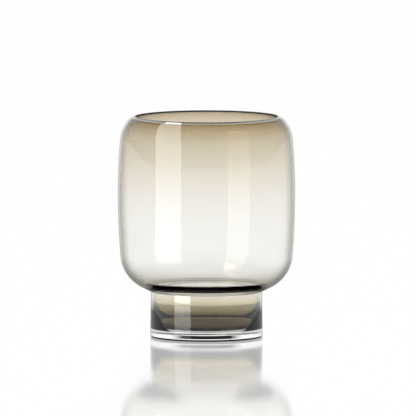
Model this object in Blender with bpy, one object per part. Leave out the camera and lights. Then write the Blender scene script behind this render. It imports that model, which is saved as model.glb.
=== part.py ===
"""A footed glass vase: a barrel-shaped bowl on a short hollow foot, each of clear glass
with a thin layer of smoke-coloured glass inside.

Every piece is turned about Z from an outline of (radius, height) points, made of arcs and
straight runs. The frame's origin is the centre of the underside, in metres.
"""

import math

import bmesh
import bpy

# Overall sizes
OVERALL_HEIGHT = 0.249
BOWL_RADIUS = 0.100
FOOT_HEIGHT = 0.0513
WAIST_RADIUS = 0.0627

# Bowl: how far its wall draws in by the mouth and by the waist, and its arcs
WIDEST_HEIGHT = 0.1635
MOUTH_INSET = 0.0205
UPPER_BULGE = 0.0052
LOWER_BULGE = 0.0070
SHOULDER_RADIUS = 0.036
LIP_RADIUS = 0.011
HEEL_RADIUS = 0.042
UNDERSIDE_SLOPE = math.radians(26.3)
INNER_FLOOR_SLOPE = math.radians(12.0)

# Foot
FOOT_FLARE = 0.0007
BASE_THICKNESS = 0.0095
TAPER_DROP = 0.017
TAPER_RADIUS = 0.060
BASE_CORNER_RADIUS = 0.005
BASE_EDGE_RADIUS = 0.0018

# Glass layers
CLEAR_WALL = 0.0018
SMOKE_LAYER = 0.0008
LAYER_GAP = 0.0003
JOINT_GAP = 0.0003

# Facets
TURN_STEPS = 40
ARC_STEP = math.radians(14.0)
SHARP_EDGE = math.radians(40.0)
MERGE_DISTANCE = 1e-6

GLASS_IOR = 1.5

UP = math.radians(90.0)
INWARD = math.radians(180.0)
DOWN = math.radians(-90.0)

MOUTH_RADIUS = BOWL_RADIUS - MOUTH_INSET
SMOKE_DEPTH = CLEAR_WALL + LAYER_GAP
FOOT_TOP = FOOT_HEIGHT - JOINT_GAP


def arc(centre, radius, start, end):
    """Points along an arc between two angles, both ends included."""
    steps = max(2, math.ceil(abs(end - start) / ARC_STEP))
    angles = [start + (end - start) * step / steps for step in range(steps + 1)]
    return [
        (centre[0] + radius * math.cos(angle), centre[1] + radius * math.sin(angle))
        for angle in angles
    ]


def angle_to(start, end):
    """Angle of the direction from one point to another."""
    return math.atan2(end[1] - start[1], end[0] - start[0])


def bulge_circle(rise, bulge):
    """Circle of a wall that is upright at its widest ring and has drawn in by the bulge
    at this height above or below it."""
    radius = (rise**2 + bulge**2) / (2 * bulge)
    return (BOWL_RADIUS - radius, WIDEST_HEIGHT), radius


def outer_crossing(first, first_radius, second, second_radius):
    """The crossing of two circles that lies further from the axis."""
    across = math.dist(first, second)
    along = (first_radius**2 - second_radius**2 + across**2) / (2 * across)
    aside = math.sqrt(max(first_radius**2 - along**2, 0.0))
    way = ((second[0] - first[0]) / across, (second[1] - first[1]) / across)
    return (
        first[0] + along * way[0] + aside * way[1],
        first[1] + along * way[1] - aside * way[0],
    )


def heel_circle(wall_centre, wall_radius):
    """Circle that joins the lower wall to the sloping underside, touching both.

    Its radius is kept small enough to touch the underside outside the waist."""
    waist = (WAIST_RADIUS, FOOT_HEIGHT)
    slope = (math.cos(UNDERSIDE_SLOPE), math.sin(UNDERSIDE_SLOPE))
    inside = (-slope[1], slope[0])
    offset = (waist[0] - wall_centre[0], waist[1] - wall_centre[1])
    leaning = wall_radius + inside[0] * offset[0] + inside[1] * offset[1]
    largest = (wall_radius**2 - offset[0] ** 2 - offset[1] ** 2) / (2 * leaning)
    radius = min(HEEL_RADIUS, largest)
    start = (waist[0] + radius * inside[0], waist[1] + radius * inside[1])
    offset = (start[0] - wall_centre[0], start[1] - wall_centre[1])
    towards = slope[0] * offset[0] + slope[1] * offset[1]
    excess = offset[0] ** 2 + offset[1] ** 2 - (wall_radius - radius) ** 2
    run = math.sqrt(max(towards**2 - excess, 0.0)) - towards
    return (start[0] + run * slope[0], start[1] + run * slope[1]), radius


def bowl_curve(depth):
    """The bowl's wall from mouth to waist, this deep under its outer surface.

    Inside, the floor slopes less than the underside does, so the glass is thickest around
    the waist, and it rounds over into an upright neck as wide as the inside of the foot.
    The heel ends on the floor no nearer the axis than the neck."""
    upper, upper_radius = bulge_circle(OVERALL_HEIGHT - WIDEST_HEIGHT, UPPER_BULGE)
    lower, lower_radius = bulge_circle(WIDEST_HEIGHT - FOOT_HEIGHT, LOWER_BULGE)
    lip = (MOUTH_RADIUS, OVERALL_HEIGHT - LIP_RADIUS)
    shoulder = outer_crossing(
        upper, upper_radius - SHOULDER_RADIUS, lip, SHOULDER_RADIUS - LIP_RADIUS
    )
    heel, heel_radius = heel_circle(lower, lower_radius)
    lip_turn = angle_to(shoulder, lip)
    shoulder_turn = angle_to(upper, shoulder)
    heel_turn = angle_to(lower, heel)
    if depth > 0:
        slope = max(INNER_FLOOR_SLOPE, math.asin((WAIST_RADIUS - heel[0]) / heel_radius))
    else:
        slope = UNDERSIDE_SLOPE
    curve = arc(lip, LIP_RADIUS - depth, UP, lip_turn)
    curve += arc(shoulder, SHOULDER_RADIUS - depth, lip_turn, shoulder_turn)[1:]
    curve += arc(upper, upper_radius - depth, shoulder_turn, 0.0)[1:]
    curve += arc(lower, lower_radius - depth, 0.0, heel_turn)[1:]
    curve += arc(heel, heel_radius - depth, heel_turn, DOWN + slope)[1:]
    if depth > 0:
        across = heel[0] + heel_radius * math.sin(slope) - WAIST_RADIUS
        lowest = heel[1] - heel_radius * math.cos(slope)
        neck = (WAIST_RADIUS, lowest - across * math.tan(slope))
        curve += arc(neck, depth, UP + slope, INWARD)
    curve.append((WAIST_RADIUS - depth, FOOT_HEIGHT))
    return curve


def foot_cup_curve(depth):
    """The inside of the foot from its top to its centre, this deep behind the clear glass.

    The wall is upright at the top, draws in along a long arc and ends in a small corner."""
    wall = WAIST_RADIUS - CLEAR_WALL
    taper = (wall - TAPER_RADIUS, FOOT_TOP - TAPER_DROP)
    across = TAPER_RADIUS - BASE_CORNER_RADIUS
    turn = math.asin((taper[1] - BASE_CORNER_RADIUS - BASE_THICKNESS) / across)
    corner = (taper[0] + across * math.cos(turn), taper[1] - across * math.sin(turn))
    curve = [(wall - depth, FOOT_TOP)]
    curve += arc(taper, TAPER_RADIUS - depth, 0.0, -turn)
    curve += arc(corner, BASE_CORNER_RADIUS - depth, -turn, DOWN)[1:]
    curve.append((0.0, BASE_THICKNESS + depth))
    return curve


def turned(name, outline, material):
    """A solid turned about Z from an outline that is closed, or that ends on the axis."""
    mesh = bmesh.new()
    points = [mesh.verts.new((radius, 0.0, height)) for radius, height in outline]
    pairs = list(zip(points, points[1:]))
    if outline[0][0] > 0:
        pairs.append((points[-1], points[0]))
    edges = [mesh.edges.new(pair) for pair in pairs]
    bmesh.ops.spin(
        mesh,
        geom=points + edges,
        cent=(0.0, 0.0, 0.0),
        axis=(0.0, 0.0, 1.0),
        angle=2 * math.pi,
        steps=TURN_STEPS,
        use_merge=True,
    )
    bmesh.ops.remove_doubles(mesh, verts=mesh.verts, dist=MERGE_DISTANCE)
    bmesh.ops.recalc_face_normals(mesh, faces=mesh.faces)
    data = bpy.data.meshes.new(name)
    mesh.to_mesh(data)
    mesh.free()
    data.shade_smooth()
    data.set_sharp_from_angle(angle=SHARP_EDGE)
    data.materials.append(material)
    piece = bpy.data.objects.new(name, data)
    bpy.context.collection.objects.link(piece)
    return piece


def glass(name, colour, roughness):
    """A transparent material of this colour."""
    material = bpy.data.materials.new(name)
    material.use_nodes = True
    shader = material.node_tree.nodes["Principled BSDF"]
    shader.inputs["Base Color"].default_value = (*colour, 1.0)
    shader.inputs["Roughness"].default_value = roughness
    shader.inputs["Metallic"].default_value = 0.0
    shader.inputs["IOR"].default_value = GLASS_IOR
    shader.inputs["Transmission Weight"].default_value = 1.0
    return material


def make_bowl(material):
    """The clear bowl, open at the mouth and at the waist, with a rounded rim."""
    half_wall = CLEAR_WALL / 2
    rim = arc((MOUTH_RADIUS, OVERALL_HEIGHT - half_wall), half_wall, 3 * UP, UP)
    inner = list(reversed(bowl_curve(CLEAR_WALL)))
    turned("bowl", bowl_curve(0.0) + inner + rim[1:-1], material)


def make_bowl_lining(material):
    """The smoke layer inside the bowl, from just inside the rim to the waist."""
    outer = bowl_curve(SMOKE_DEPTH)
    inner = list(reversed(bowl_curve(SMOKE_DEPTH + SMOKE_LAYER)))
    turned("bowl_lining", outer + inner, material)


def make_foot(material):
    """The clear foot: a short wall under the bowl and a thick solid base."""
    base_radius = WAIST_RADIUS + FOOT_FLARE
    edge = (base_radius - BASE_EDGE_RADIUS, BASE_EDGE_RADIUS)
    outline = [(0.0, 0.0)]
    outline += arc(edge, BASE_EDGE_RADIUS, DOWN, 0.0)
    outline.append((WAIST_RADIUS, FOOT_TOP))
    outline += foot_cup_curve(0.0)
    turned("foot", outline, material)


def make_foot_lining(material):
    """The smoke cup inside the foot, its wall and its floor."""
    outer = list(reversed(foot_cup_curve(LAYER_GAP)))
    inner = foot_cup_curve(LAYER_GAP + SMOKE_LAYER)
    turned("foot_lining", outer + inner, material)


def main():
    for leftover in list(bpy.data.objects):
        bpy.data.objects.remove(leftover)
    clear = glass("clear_glass", (0.96, 0.97, 0.97), 0.02)
    smoke = glass("smoke_glass", (0.62, 0.54, 0.40), 0.03)
    dark_smoke = glass("dark_smoke_glass", (0.50, 0.42, 0.28), 0.03)
    make_bowl(clear)
    make_bowl_lining(smoke)
    make_foot(clear)
    make_foot_lining(dark_smoke)


main()
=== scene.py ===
import math

import bpy
import numpy as np
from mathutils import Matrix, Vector


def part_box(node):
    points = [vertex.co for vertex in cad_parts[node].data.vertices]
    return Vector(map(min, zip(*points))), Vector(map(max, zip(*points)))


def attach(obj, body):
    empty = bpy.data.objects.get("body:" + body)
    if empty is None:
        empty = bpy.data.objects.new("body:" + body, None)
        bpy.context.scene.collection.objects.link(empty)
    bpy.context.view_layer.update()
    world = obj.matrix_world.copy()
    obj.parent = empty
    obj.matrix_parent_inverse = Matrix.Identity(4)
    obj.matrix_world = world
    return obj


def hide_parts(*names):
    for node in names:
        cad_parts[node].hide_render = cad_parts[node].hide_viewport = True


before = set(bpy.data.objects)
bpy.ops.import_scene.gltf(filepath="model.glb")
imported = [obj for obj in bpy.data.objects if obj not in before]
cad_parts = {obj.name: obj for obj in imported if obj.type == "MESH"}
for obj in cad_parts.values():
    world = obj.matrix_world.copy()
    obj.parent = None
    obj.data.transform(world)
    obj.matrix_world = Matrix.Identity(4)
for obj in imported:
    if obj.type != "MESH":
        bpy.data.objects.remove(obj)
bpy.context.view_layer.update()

# Lengths are in metres. An outline is a list of (radius, height) points.
up = math.radians(90)
inward = math.radians(180)
down = math.radians(-90)
black = (0.0, 0.0, 0.0)
white = (1.0, 1.0, 1.0)

bowlLow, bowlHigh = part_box("bowl")
bowlRadius = bowlHigh.x
topHeight = bowlHigh.z
waistHeight = bowlLow.z
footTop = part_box("foot")[1].z

# How fine the turned surfaces are
turning = {
    "stepsRound": 192,
    "arcStep": math.radians(2.5),
    "wallStep": 0.004,
    "sharpAngle": math.radians(30),
}


def arc(centre, radius, start, end):
    # centre + radius * (cos, sin) of evenly spaced angles from start to end
    swept = abs(end - start)
    steps = math.ceil(swept / turning["arcStep"])
    count = max(2, steps, math.ceil(swept * radius / turning["wallStep"]))
    angles = np.linspace(start, end, count + 1)
    across = centre[0] + radius * np.cos(angles)
    return np.column_stack([across, centre[1] + radius * np.sin(angles)])


def angleTo(start, end):
    return math.atan2(end[1] - start[1], end[0] - start[0])


def runLength(outline):
    return float(np.linalg.norm(np.diff(outline, axis=0), axis=1).sum())


# The bowl's outline and the layers of glass; its overall sizes come from the frame
bowlShape = {
    "widestHeight": 0.1635,
    "mouthInset": 0.0205,
    "upperBulge": 0.0052,
    "lowerBulge": 0.0070,
    "shoulderRadius": 0.036,
    "lipRadius": 0.011,
    "heelRadius": 0.042,
    "undersideSlope": math.radians(26.3),
    "floorSlope": math.radians(12),
    "waistRadius": 0.0627,
    "wall": 0.0018,
    "smoke": 0.0008,
    "layerGap": 0.0003,
}

mouthRadius = bowlRadius - bowlShape["mouthInset"]
waistRadius = bowlShape["waistRadius"]


def bulgeCircle(rise, bulge):
    # upright at the widest ring, drawn in by the bulge this far above or below it
    radius = (rise**2 + bulge**2) / (2 * bulge)
    return (bowlRadius - radius, bowlShape["widestHeight"]), radius


def outerCrossing(first, firstRadius, second, secondRadius):
    # where two circles cross, on the side away from the axis
    across = math.dist(first, second)
    along = (firstRadius**2 - secondRadius**2 + across**2) / (2 * across)
    aside = math.sqrt(max(firstRadius**2 - along**2, 0.0))
    way = ((second[0] - first[0]) / across, (second[1] - first[1]) / across)
    return (first[0] + along * way[0] + aside * way[1], first[1] + along * way[1] - aside * way[0])


def heelCircle(wallCentre, wallRadius):
    # centre of the circle that touches the lower wall and the sloping underside
    slope = bowlShape["undersideSlope"]
    radius = bowlShape["heelRadius"]
    along = (math.cos(slope), math.sin(slope))
    start = (waistRadius - radius * along[1], waistHeight + radius * along[0])
    offset = (start[0] - wallCentre[0], start[1] - wallCentre[1])
    towards = along[0] * offset[0] + along[1] * offset[1]
    excess = offset[0]**2 + offset[1]**2 - (wallRadius - radius)**2
    run = math.sqrt(towards**2 - excess) - towards
    return (start[0] + run * along[0], start[1] + run * along[1])


def bowlCurve(depth):
    # the wall from mouth to waist, this deep under its outer surface, as five touching arcs
    shape = bowlShape
    shoulderRadius = shape["shoulderRadius"]
    lipRadius = shape["lipRadius"]
    heelRadius = shape["heelRadius"]
    upper, upperRadius = bulgeCircle(topHeight - shape["widestHeight"], shape["upperBulge"])
    lower, lowerRadius = bulgeCircle(shape["widestHeight"] - waistHeight, shape["lowerBulge"])
    lip = (mouthRadius, topHeight - lipRadius)
    shoulder = outerCrossing(upper, upperRadius - shoulderRadius, lip, shoulderRadius - lipRadius)
    heel = heelCircle(lower, lowerRadius)
    lipTurn = angleTo(shoulder, lip)
    shoulderTurn = angleTo(upper, shoulder)
    heelTurn = angleTo(lower, heel)
    slope = shape["floorSlope"] if depth > 0 else shape["undersideSlope"]
    parts = [
        arc(lip, lipRadius - depth, up, lipTurn),
        arc(shoulder, shoulderRadius - depth, lipTurn, shoulderTurn)[1:],
        arc(upper, upperRadius - depth, shoulderTurn, 0)[1:],
        arc(lower, lowerRadius - depth, 0, heelTurn)[1:],
        arc(heel, heelRadius - depth, heelTurn, down + slope)[1:],
    ]
    if depth > 0:
        # the floor is flatter than the underside, so the glass is thickest around the waist
        lowest = (heel[0] + heelRadius * math.sin(slope), heel[1] - heelRadius * math.cos(slope))
        neck = (waistRadius, lowest[1] - (lowest[0] - waistRadius) * math.tan(slope))
        parts.append(arc(neck, depth, up + slope, inward))
    parts.append(np.array([[waistRadius - depth, waistHeight]]))
    return np.vstack(parts)


footShape = {
    "flare": 0.0007,
    "baseThickness": 0.0095,
    "taperDrop": 0.017,
    "taperRadius": 0.060,
    "cornerRadius": 0.005,
    "edgeRadius": 0.0018,
}


def footCupCurve(depth):
    # the cup from its top to its centre: upright, then one long arc inwards and a small corner
    shape = footShape
    wall = waistRadius - bowlShape["wall"]
    taper = (wall - shape["taperRadius"], footTop - shape["taperDrop"])
    across = shape["taperRadius"] - shape["cornerRadius"]
    turn = math.asin((taper[1] - shape["cornerRadius"] - shape["baseThickness"]) / across)
    corner = (taper[0] + across * math.cos(turn), taper[1] - across * math.sin(turn))
    return np.vstack([
        [(wall - depth, waistHeight)],
        arc(taper, shape["taperRadius"] - depth, 0, -turn),
        arc(corner, shape["cornerRadius"] - depth, -turn, down)[1:],
        [(0.0, shape["baseThickness"] + depth)],
    ])


def lathe(name, outline, material, openAt=None):
    # (radius, height) -> (radius * cos t, radius * sin t, height), on a grid of outline
    # points by turns; an outline that ends on the axis gets one point there at each end
    outline = np.asarray(outline, float)
    onAxis = outline[:, 0] < 1e-9
    ring = outline[~onAxis]
    count = turning["stepsRound"]
    around = np.linspace(0, 2 * np.pi, count, endpoint=False)
    grid = np.empty((len(ring), count, 3))
    grid[..., 0] = ring[:, :1] * np.cos(around)
    grid[..., 1] = ring[:, :1] * np.sin(around)
    grid[..., 2] = ring[:, 1:]
    points = grid.reshape(-1, 3)
    closed = not onAxis.any()
    rows = np.arange(len(ring) if closed else len(ring) - 1)[:, None]
    columns = np.arange(count)[None, :]
    nextRow = (rows + 1) % len(ring)
    nextColumn = (columns + 1) % count
    quads = np.stack([
        rows * count + columns,
        rows * count + nextColumn,
        nextRow * count + nextColumn,
        nextRow * count + columns,
    ], axis=-1)
    if openAt is not None:
        # the face where this piece is fused to its neighbour is left out
        quads = np.delete(quads, openAt, axis=0)
    faces = quads.reshape(-1, 4).tolist()
    if not closed:
        poles = outline[onAxis]
        first = len(points)
        last = (len(ring) - 1) * count
        spoke = np.arange(count)
        nextSpoke = (spoke + 1) % count
        points = np.vstack([points, [(0, 0, poles[0, 1])], [(0, 0, poles[-1, 1])]])
        faces += np.column_stack([np.full(count, first), nextSpoke, spoke]).tolist()
        faces += np.column_stack([np.full(count, first + 1), last + spoke, last + nextSpoke]).tolist()
    mesh = bpy.data.meshes.new(name)
    mesh.from_pydata(points.tolist(), [], faces)
    mesh.update()
    # u runs once round; v is the distance in metres along the outline from its first ring
    along = np.concatenate([[0], np.cumsum(np.linalg.norm(np.diff(ring, axis=0), axis=1))])
    corner = np.empty(len(mesh.loops), int)
    mesh.loops.foreach_get("vertex_index", corner)
    inRing = corner < len(ring) * count
    atPole = np.where(corner == len(ring) * count, along[0], along[-1])
    uv = np.zeros((len(corner), 2))
    uv[:, 0] = np.where(inRing, (corner % count) / count, 0.5)
    uv[:, 1] = np.where(inRing, along[np.minimum(corner // count, len(ring) - 1)], atPole)
    mesh.uv_layers.new(name="outline").data.foreach_set("uv", uv.ravel())
    # the enclosed volume is negative when the faces point inwards
    mesh.calc_loop_triangles()
    triangles = np.empty(len(mesh.loop_triangles) * 3, int)
    mesh.loop_triangles.foreach_get("vertices", triangles)
    sides = points[triangles.reshape(-1, 3)]
    if np.einsum("ij,ij->i", sides[:, 0], np.cross(sides[:, 1], sides[:, 2])).sum() < 0:
        mesh.flip_normals()
    mesh.shade_smooth()
    mesh.set_sharp_from_angle(angle=turning["sharpAngle"])
    mesh.materials.append(material)
    piece = bpy.data.objects.new(name, mesh)
    bpy.context.scene.collection.objects.link(piece)
    return piece


def feed(tree, socket, value):
    # the value is a socket to link, or a number or a colour to set
    if isinstance(value, bpy.types.NodeSocket):
        tree.links.new(value, socket)
    elif isinstance(value, tuple):
        socket.default_value = (*value, 1)
    elif value is not None:
        socket.default_value = value


def calc(tree, operation, a, b=None, c=None):
    node = tree.nodes.new("ShaderNodeMath")
    node.operation = operation
    for socket, value in zip(node.inputs, (a, b, c)):
        feed(tree, socket, value)
    return node.outputs[0]


def span(tree, value, low, high, before=0.0, after=1.0, eased=True):
    # the before value below low, the after value past high, eased or straight between them
    node = tree.nodes.new("ShaderNodeMapRange")
    node.interpolation_type = "SMOOTHSTEP" if eased else "LINEAR"
    feed(tree, node.inputs["Value"], value)
    feed(tree, node.inputs["From Min"], low)
    feed(tree, node.inputs["From Max"], high)
    feed(tree, node.inputs["To Min"], before)
    feed(tree, node.inputs["To Max"], after)
    return node.outputs[0]


def mix(tree, kind, amount, before, after):
    node = tree.nodes.new("ShaderNodeMix")
    node.data_type = kind
    feed(tree, node.inputs["Factor"], amount)
    feed(tree, node.inputs["A"], before)
    feed(tree, node.inputs["B"], after)
    return node.outputs["Result"]


def tint(tree, amount, before, colour):
    return mix(tree, "RGBA", amount, before, colour)


def readSurface(tree):
    # height and distance along the outline, how far the surface turns away, and whether a
    # ray comes from inside the glass
    coordinates = tree.nodes.new("ShaderNodeTexCoord").outputs
    position = tree.nodes.new("ShaderNodeSeparateXYZ")
    unrolled = tree.nodes.new("ShaderNodeSeparateXYZ")
    tree.links.new(coordinates["Object"], position.inputs[0])
    tree.links.new(coordinates["UV"], unrolled.inputs[0])
    return {
        "height": position.outputs["Z"],
        "outline": unrolled.outputs["Y"],
        "facing": tree.nodes.new("ShaderNodeLayerWeight").outputs["Facing"],
        "leaving": tree.nodes.new("ShaderNodeNewGeometry").outputs["Backfacing"],
    }


def newGroup(name, inputs, output, kind):
    # a node group with named inputs and one named output, and the sockets its inputs give
    group = bpy.data.node_groups.new(name, "ShaderNodeTree")
    for label, inputKind in inputs.items():
        group.interface.new_socket(label, in_out="INPUT", socket_type=inputKind)
    group.interface.new_socket(output, in_out="OUTPUT", socket_type=kind)
    return group, group.nodes.new("NodeGroupInput").outputs


def closeGroup(group, result):
    group.links.new(result, group.nodes.new("NodeGroupOutput").inputs[0])
    return group


def makeBandGroup():
    # 1 between the rise and the fall, 0 outside them, eased at both
    labels = ("Value", "Rise Start", "Rise End", "Fall Start", "Fall End")
    group, given = newGroup("band", dict.fromkeys(labels, "NodeSocketFloat"), "Mask", "NodeSocketFloat")
    rise = span(group, given["Value"], given["Rise Start"], given["Rise End"])
    fall = span(group, given["Value"], given["Fall Start"], given["Fall End"], 1.0, 0.0)
    return closeGroup(group, calc(group, "MULTIPLY", rise, fall))


def makeEdgeGroup():
    # the colour of the glass seen face on, going over to a painted shade where it is seen edge on, standing
    # in for the dark surroundings that the edges refract
    kinds = dict.fromkeys(("Facing", "Start", "End"), "NodeSocketFloat")
    kinds.update(dict.fromkeys(("Glass", "Tint"), "NodeSocketColor"))
    group, given = newGroup("edgeTint", kinds, "Colour", "NodeSocketColor")
    amount = span(group, given["Facing"], given["Start"], given["End"])
    return closeGroup(group, tint(group, amount, given["Glass"], given["Tint"]))


def placeGroup(tree, group, values):
    node = tree.nodes.new("ShaderNodeGroup")
    node.node_tree = group
    for label, value in values.items():
        feed(tree, node.inputs[label], value)
    return node.outputs[0]


bandGroup = makeBandGroup()
edgeGroup = makeEdgeGroup()


def band(tree, value, rise, fall, start=0.0):
    # the band mask, with its rise and fall measured from a starting value
    return placeGroup(tree, bandGroup, {
        "Value": value,
        "Rise Start": start + rise[0],
        "Rise End": start + rise[1],
        "Fall Start": start + fall[0],
        "Fall End": start + fall[1],
    })


# the glass's colour, with painted shade at its edges
def edgeTint(tree, surface, look):
    return placeGroup(tree, edgeGroup, {
        "Facing": surface["facing"],
        "Start": look["edgeFacing"][0],
        "End": look["edgeFacing"][1],
        "Glass": look["glass"],
        "Tint": look["edgeTint"],
    })


def glass(name, ior):
    material = bpy.data.materials.new(name)
    material.use_nodes = True
    shader = material.node_tree.nodes["Principled BSDF"].inputs
    shader["IOR"].default_value = ior
    shader["Roughness"].default_value = 0.0
    shader["Transmission Weight"].default_value = 1.0
    return material, material.node_tree, shader


# The bowl's clear glass, painted with shade at its edges, rim, underside and two inner rings. A pair is
# where a fade starts and ends, in metres along the outline or as how far the surface turns away, from 0 face
# on to 1 edge on.
clearLook = {
    "ior": 1.5,
    "glass": (0.995, 0.998, 0.995),
    "edgeTint": (0.37, 0.37, 0.32),
    "edgeFacing": (0.52, 0.86),
    "rimTint": (0.05, 0.036, 0.02),
    "rimRoughness": 0.9,
    "rimOutside": (0.0004, 0.0014),  # down the outside from the rim
    "rimInside": (-0.0026, -0.0018),  # up the inside, before the outline closes
    "undersideRise": (-0.0275, -0.0245),  # before the waist, as are the next two
    "undersideFall": (-0.0105, -0.0085),
    "arcRun": (-0.0235, -0.0139),
    "arcFacing": (0.44, 0.64),
    "arcRise": (-0.20, -0.12),
    "arcFall": (0.17, 0.27),
    "neckTint": (0.36, 0.30, 0.20),
    "neckRise": (0.0030, 0.0036),  # up the inside from the neck, as are the rest
    "neckFall": (0.0052, 0.0058),
    "floorTint": (0.70, 0.66, 0.58),
    "floorRise": (0.0085, 0.0100),
    "floorFall": (0.0110, 0.0125),
}


def makeClearGlass(outside, inside, rim):
    look = clearLook
    material, tree, shader = glass("clearGlass", look["ior"])
    surface = readSurface(tree)
    outline = surface["outline"]
    waistRun = runLength(outside)
    wholeRun = runLength(np.vstack([outside, inside, rim]))
    colour = edgeTint(tree, surface, look)
    # painted shade on the rim, which is dark and dull: it stands in for the dark surroundings the rim
    # refracts
    rimOutside = span(tree, outline, *look["rimOutside"], 1.0, 0.0)
    rimInside = span(tree, outline, wholeRun + look["rimInside"][0], wholeRun + look["rimInside"][1])
    rimMask = calc(tree, "MAXIMUM", rimOutside, rimInside)
    colour = tint(tree, rimMask, colour, look["rimTint"])
    feed(tree, shader["Roughness"], calc(tree, "MULTIPLY", rimMask, look["rimRoughness"]))
    # painted shade on the underside, between facing angles that rise towards the waist, only where a ray
    # enters the glass
    underShade = band(tree, outline, look["undersideRise"], look["undersideFall"], waistRun)
    arcStart, arcEnd = look["arcRun"]
    middle = span(tree, outline, waistRun + arcStart, waistRun + arcEnd, *look["arcFacing"], eased=False)
    aside = calc(tree, "SUBTRACT", surface["facing"], middle)
    underShade = calc(tree, "MULTIPLY", underShade, band(tree, aside, look["arcRise"], look["arcFall"]))
    underShade = calc(tree, "MULTIPLY", underShade, calc(tree, "SUBTRACT", 1.0, surface["leaving"]))
    colour = tint(tree, underShade, colour, black)
    # two fine rings of painted shade inside, just above the neck and on the floor
    neckRun = waistRun + bowlShape["wall"] + float(inside[1, 1] - inside[0, 1])
    for ring in ("neck", "floor"):
        mask = band(tree, outline, look[ring + "Rise"], look[ring + "Fall"], neckRun)
        colour = tint(tree, mask, colour, look[ring + "Tint"])
    feed(tree, shader["Base Color"], colour)
    return material


# The foot's clear glass, with painted shade at its edges, in its corners, in a bar across the base and along
# its bottom edge; heights are above the underside
baseLook = {
    "ior": 1.5,
    "glass": (0.995, 0.998, 0.995),
    "edgeTint": (0.45, 0.48, 0.45),
    "edgeFacing": (0.8, 1.0),
    "cornerHeights": (0.0095, 0.037),
    "cornerFacing": (0.21, 0.66),
    "cornerEase": 0.05,
    "cornerRise": (0.0085, 0.0105),
    "cornerFall": (0.030, 0.046),
    "barRise": (0.0027, 0.0031),
    "barFall": (0.0066, 0.0070),
    "barFacing": (0.10, 0.26),
    "bottomFall": (0.0018, 0.0024),
}


def makeBaseGlass():
    look = baseLook
    material, tree, shader = glass("baseGlass", look["ior"])
    surface = readSurface(tree)
    height, facing = surface["height"], surface["facing"]
    entering = calc(tree, "SUBTRACT", 1.0, surface["leaving"])
    colour = edgeTint(tree, surface, look)
    # painted shade in the corners, wider lower down
    limit = span(tree, height, *look["cornerHeights"], *look["cornerFacing"], eased=False)
    corner = span(tree, calc(tree, "SUBTRACT", facing, limit), -look["cornerEase"], look["cornerEase"])
    corner = calc(tree, "MULTIPLY", corner, band(tree, height, look["cornerRise"], look["cornerFall"]))
    # a bar of painted shade across the middle of the base, and a painted contact shadow along the bottom
    # edge
    bar = band(tree, height, look["barRise"], look["barFall"])
    bar = calc(tree, "MULTIPLY", bar, span(tree, facing, *look["barFacing"], 1.0, 0.0))
    bottom = span(tree, height, *look["bottomFall"], 1.0, 0.0)
    for mask in (corner, bar, bottom):
        colour = tint(tree, calc(tree, "MULTIPLY", mask, entering), colour, black)
    feed(tree, shader["Base Color"], colour)
    return material


def colourByHeight(tree, height, stops):
    # a colour ramp through (height, colour) pairs
    low, high = stops[0][0], stops[-1][0]
    ramp = tree.nodes.new("ShaderNodeValToRGB")
    feed(tree, ramp.inputs[0], span(tree, height, low, high, eased=False))
    elements = ramp.color_ramp.elements
    while len(elements) < len(stops):
        elements.new(0.5)
    for element, (level, colour) in zip(elements, stops):
        element.position = (level - low) / (high - low)
        element.color = (*colour, 1)
    return ramp.outputs["Color"]


# The smoke layers bend no light, because the clear glass around them does;
# their colours are given at heights above the underside
smokeLook = {
    "ior": 1.0,
    "tint": [
        (0.050, (0.93, 0.91, 0.85)),
        (0.075, (0.985, 0.98, 0.965)),
        (0.12, (0.975, 0.97, 0.955)),
        (0.16, (0.94, 0.92, 0.89)),
        (0.20, (0.86, 0.82, 0.735)),
        (0.225, (0.79, 0.735, 0.62)),
        (0.238, (0.70, 0.61, 0.46)),
        (0.249, (0.50, 0.40, 0.26)),
    ],
}

# The foot lining's colours mix its own dark smoke with painted light and shade: the black rings, the dark
# bands, the bright cup floor, and different shading on its near and far walls
darkSmokeLook = {
    "ior": 1.0,
    "nearTint": [
        (0.0080, (0.0, 0.0, 0.0)),
        (0.0125, (0.02, 0.016, 0.01)),
        (0.0150, (0.16, 0.13, 0.08)),
        (0.0175, (0.40, 0.34, 0.22)),
        (0.0260, (0.85, 0.74, 0.51)),
        (0.0285, (0.40, 0.34, 0.22)),
        (0.0320, (0.36, 0.32, 0.20)),
        (0.0395, (0.50, 0.46, 0.34)),
        (0.0412, (0.86, 0.80, 0.69)),
        (0.0515, (0.88, 0.85, 0.77)),
    ],
    "farTint": [
        (0.0080, (1.0, 0.90, 0.70)),
        (0.01065, (1.0, 0.90, 0.70)),
        (0.0108, (0.0, 0.0, 0.0)),
        (0.0130, (0.0, 0.0, 0.0)),
        (0.0142, (0.36, 0.30, 0.18)),
        (0.0160, (0.48, 0.42, 0.28)),
        (0.0200, (0.72, 0.66, 0.50)),
        (0.0260, (0.84, 0.79, 0.63)),
        (0.0340, (0.86, 0.82, 0.70)),
        (0.0410, (0.94, 0.92, 0.86)),
        (0.0515, (0.94, 0.92, 0.86)),
    ],
}


def makeSmokeGlass():
    material, tree, shader = glass("smokeGlass", smokeLook["ior"])
    surface = readSurface(tree)
    feed(tree, shader["Base Color"], colourByHeight(tree, surface["height"], smokeLook["tint"]))
    return material


def makeDarkSmokeGlass():
    look = darkSmokeLook
    material, tree, shader = glass("darkSmokeGlass", look["ior"])
    surface = readSurface(tree)
    nearTint = colourByHeight(tree, surface["height"], look["nearTint"])
    farTint = colourByHeight(tree, surface["height"], look["farTint"])
    # each wall gets its own painted shading; the near wall is entered by its outer side and left by its
    # inner one, the far wall the other way
    outerRun = runLength(footCupCurve(bowlShape["layerGap"])[:-1]) + bowlShape["smoke"] / 2
    outerSide = calc(tree, "LESS_THAN", surface["outline"], outerRun)
    near = calc(tree, "ABSOLUTE", calc(tree, "SUBTRACT", outerSide, surface["leaving"]))
    feed(tree, shader["Base Color"], tint(tree, near, farTint, nearTint))
    return material


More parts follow.
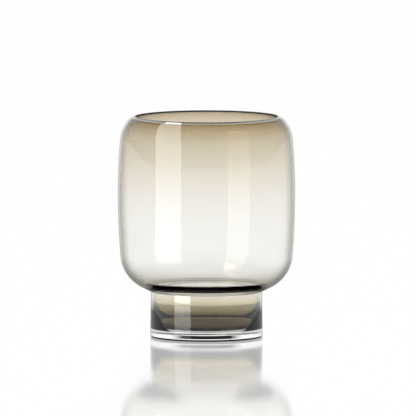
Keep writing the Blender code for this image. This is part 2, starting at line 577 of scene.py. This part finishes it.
print("bowl")
wall, smoke = bowlShape["wall"], bowlShape["smoke"]
layerGap = bowlShape["layerGap"]
outside = bowlCurve(0)
inside = bowlCurve(wall)[::-1]
rim = arc((mouthRadius, topHeight - wall / 2), wall / 2, 3 * up, up)[1:-1]
clearGlass = makeClearGlass(outside, inside, rim)
bowl = lathe("bowlGlass", np.vstack([outside, inside, rim]), clearGlass, openAt=len(outside) - 1)
layer = np.vstack([bowlCurve(wall + layerGap), bowlCurve(wall + layerGap + smoke)[::-1]])
lining = lathe("bowlSmoke", layer, makeSmokeGlass())

print("foot")
edgeRadius = footShape["edgeRadius"]
edge = (waistRadius + footShape["flare"] - edgeRadius, edgeRadius)
base = np.vstack([[(0.0, 0.0)], arc(edge, edgeRadius, down, 0), [(waistRadius, waistHeight)]])
foot = lathe("footGlass", np.vstack([base, footCupCurve(0)]), makeBaseGlass(), openAt=len(base) - 2)
layer = np.vstack([footCupCurve(layerGap)[::-1], footCupCurve(layerGap + smoke)])
footLining = lathe("footSmoke", layer, makeDarkSmokeGlass())

for piece, node, slotName in (
    (bowl, "bowl", "clear_glass"),
    (lining, "bowl_lining", "smoke_glass"),
    (foot, "foot", "clear_glass"),
    (footLining, "foot_lining", "dark_smoke_glass"),
):
    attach(piece, "root")
    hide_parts(node)

print("room")
# White round the horizon and dark above, by the sine of the angle up. Mirrored straight
# from the glass, the room is darker in front and higher up, and lightest behind.
room = {
    "whiteUpTo": math.sin(math.radians(8)),
    "darkFrom": math.sin(math.radians(65)),
    "horizonLight": 1.0,
    "ceilingLight": 0.0,
    "darkAhead": 0.5,
    "lightBehind": 0.99,
    "backdropLight": 0.8,
    "steepFrom": 0.12,
    "steepTo": 0.25,
    "steepLight": 0.5,
    "mirrorDepth": 3.5,
    "seenLight": 1.0,
    "bounces": 40,
    "glossyBounces": 16,
}


def makeWorld():
    world = bpy.data.worlds.new("studio")
    world.use_nodes = True
    tree = world.node_tree
    parts = tree.nodes.new("ShaderNodeSeparateXYZ")
    tree.links.new(tree.nodes.new("ShaderNodeTexCoord").outputs["Generated"], parts.inputs[0])
    rise, behind = parts.outputs["Z"], parts.outputs["Y"]
    ray = tree.nodes.new("ShaderNodeLightPath").outputs
    light = span(tree, rise, room["whiteUpTo"], room["darkFrom"], room["horizonLight"], room["ceilingLight"])
    backdrop = span(tree, behind, room["darkAhead"], room["lightBehind"], 0.0, room["backdropLight"])
    steep = span(tree, rise, room["steepFrom"], room["steepTo"], 1.0, room["steepLight"], eased=False)
    dimmed = calc(tree, "MULTIPLY", calc(tree, "MULTIPLY", light, backdrop), steep)
    early = calc(tree, "LESS_THAN", ray["Ray Depth"], room["mirrorDepth"])
    mirrored = calc(tree, "MULTIPLY", early, ray["Is Singular Ray"])
    lit = mix(tree, "FLOAT", mirrored, light, dimmed)
    lit = mix(tree, "FLOAT", ray["Is Camera Ray"], lit, room["seenLight"])
    background = tree.nodes["Background"].inputs
    feed(tree, background["Strength"], lit)
    feed(tree, background["Color"], white)
    return world


scene = bpy.context.scene
scene.view_settings.view_transform = "Standard"
scene.cycles.max_bounces = room["bounces"]
scene.cycles.transmission_bounces = room["bounces"]
scene.cycles.glossy_bounces = room["glossyBounces"]
scene.world = makeWorld()

floorLook = {
    "reach": 60.0,
    "drop": 0.0003,
    "roughness": 0.08,
    "ior": 1.5,
    "grazingGloss": (0.40, 0.55),
    "throughGlass": (0.5, 1.0),
}


def makeFloor():
    # glows white where it is seen straight or through glass, and mirrors the rest
    material = bpy.data.materials.new("floorPaint")
    material.use_nodes = True
    tree = material.node_tree
    shader = tree.nodes["Principled BSDF"].inputs
    feed(tree, shader["Base Color"], black)
    feed(tree, shader["Emission Color"], white)
    feed(tree, shader["Roughness"], floorLook["roughness"])
    fresnel = tree.nodes.new("ShaderNodeFresnel")
    feed(tree, fresnel.inputs["IOR"], floorLook["ior"])
    gloss = fresnel.outputs[0]
    ray = tree.nodes.new("ShaderNodeLightPath").outputs
    grazing = span(tree, gloss, *floorLook["grazingGloss"], *floorLook["throughGlass"])
    through = calc(tree, "MULTIPLY", ray["Is Transmission Ray"], grazing)
    straight = calc(tree, "MAXIMUM", ray["Is Camera Ray"], through)
    glow = calc(tree, "MULTIPLY", calc(tree, "SUBTRACT", 1.0, gloss), straight)
    feed(tree, shader["Emission Strength"], glow)
    reach, level = floorLook["reach"], -floorLook["drop"]
    mesh = bpy.data.meshes.new("floor")
    corners = [(x * reach, y * reach, level) for x, y in ((-1, -1), (1, -1), (1, 1), (-1, 1))]
    mesh.from_pydata(corners, [], [(0, 1, 2, 3)])
    mesh.materials.append(material)
    return bpy.data.objects.new("floor", mesh)


floor = makeFloor()
scene.collection.objects.link(floor)

# The camera; lengths in metres, the elevation in degrees
view = {
    "lens": 1200.0,
    "sensor": 36.0,
    "width": 0.4686,
    "elevation": 5.26,
    "aimAside": 0.0017,
    "aimHeight": 0.1453,
    "clipEnd": 60,
}

# The strip of light that the bowl mirrors in front. Its edges are given by where they show
# on the bowl: how far aside, at each tilt of the wall. The left edge leans in on the shoulder.
softbox = {
    "reach": 0.6,
    "tilts": (-6, 72),
    "rows": 27,
    "leftEdge": -0.0575,
    "rightEdge": -0.0288,
    "lean": 0.012,
    "leanFrom": 12,
    "leanOver": 50,
    "lowest": 0.001,
    "light": 2.3,
    "lowLight": 4.5,
    "lowHeights": (0.035, 0.055),
    "floorFade": (0.0, 0.002),
}


def softboxPoints(outer):
    # at each tilt, the view's direction is mirrored in the wall at the edge's place, and
    # followed out to a sphere round the origin
    step = np.diff(outer, axis=0)
    middles = (outer[1:] + outer[:-1]) / 2
    tilts = np.arctan2(step[:, 0], -step[:, 1])
    order = np.argsort(tilts)
    tilt = np.radians(np.linspace(*softbox["tilts"], softbox["rows"]))
    radius = np.interp(tilt, tilts[order], middles[order, 0])
    height = np.interp(tilt, tilts[order], middles[order, 1])
    elevation = math.radians(view["elevation"])
    look = np.array([0, math.cos(elevation), -math.sin(elevation)])
    lean = np.clip((np.degrees(tilt) - softbox["leanFrom"]) / softbox["leanOver"], 0, 1)
    left = softbox["leftEdge"] + softbox["lean"] * lean**2
    right = np.full(len(tilt), softbox["rightEdge"])
    sides = []
    for across in (left, right):
        turn = np.arcsin(across / radius)
        level = np.cos(tilt)
        normal = np.column_stack([np.sin(turn) * level, -np.cos(turn) * level, np.sin(tilt)])
        bounce = look - 2 * (normal @ look)[:, None] * normal
        start = np.column_stack([across, -radius * np.cos(turn), height])
        along = (start * bounce).sum(axis=1)
        out = -along + np.sqrt(along**2 - (start**2).sum(axis=1) + softbox["reach"]**2)
        sides.append(start + out[:, None] * bounce)
    points = np.vstack(sides)
    points[:, 2] = np.maximum(points[:, 2], softbox["lowest"])
    return points


def makeSoftbox(outer):
    material = bpy.data.materials.new("softboxCloth")
    material.use_nodes = True
    tree = material.node_tree
    shader = tree.nodes["Principled BSDF"].inputs
    feed(tree, shader["Base Color"], black)
    feed(tree, shader["Specular IOR Level"], 0)
    feed(tree, shader["Emission Color"], white)
    height = readSurface(tree)["height"]
    low = span(tree, height, *softbox["lowHeights"], 1.0, 0.0)
    glow = calc(tree, "MULTIPLY_ADD", low, softbox["lowLight"], softbox["light"])
    glow = calc(tree, "MULTIPLY", span(tree, height, *softbox["floorFade"]), glow)
    feed(tree, shader["Emission Strength"], glow)
    rows = softbox["rows"]
    mesh = bpy.data.meshes.new("archedSoftbox")
    faces = [(row, row + 1, rows + row + 1, rows + row) for row in range(rows - 1)]
    mesh.from_pydata(softboxPoints(outer).tolist(), [], faces)
    mesh.materials.append(material)
    return bpy.data.objects.new("archedSoftbox", mesh)


print("light")
archedSoftbox = makeSoftbox(outside)
scene.collection.objects.link(archedSoftbox)
archedSoftbox.visible_camera = False

print("camera")
camera = bpy.data.cameras.new("camera")
camera.lens = view["lens"]
camera.sensor_width = view["sensor"]
camera.clip_end = view["clipEnd"]
eye = bpy.data.objects.new("camera", camera)
distance = view["width"] * view["lens"] / view["sensor"]
tilt = math.radians(view["elevation"])
aim = Vector((view["aimAside"], 0, view["aimHeight"]))
eye.location = aim + distance * Vector((0, -math.cos(tilt), math.sin(tilt)))
eye.rotation_mode = "QUATERNION"
eye.rotation_quaternion = (aim - eye.location).to_track_quat("-Z", "Y")
scene.collection.objects.link(eye)
scene.camera = eye
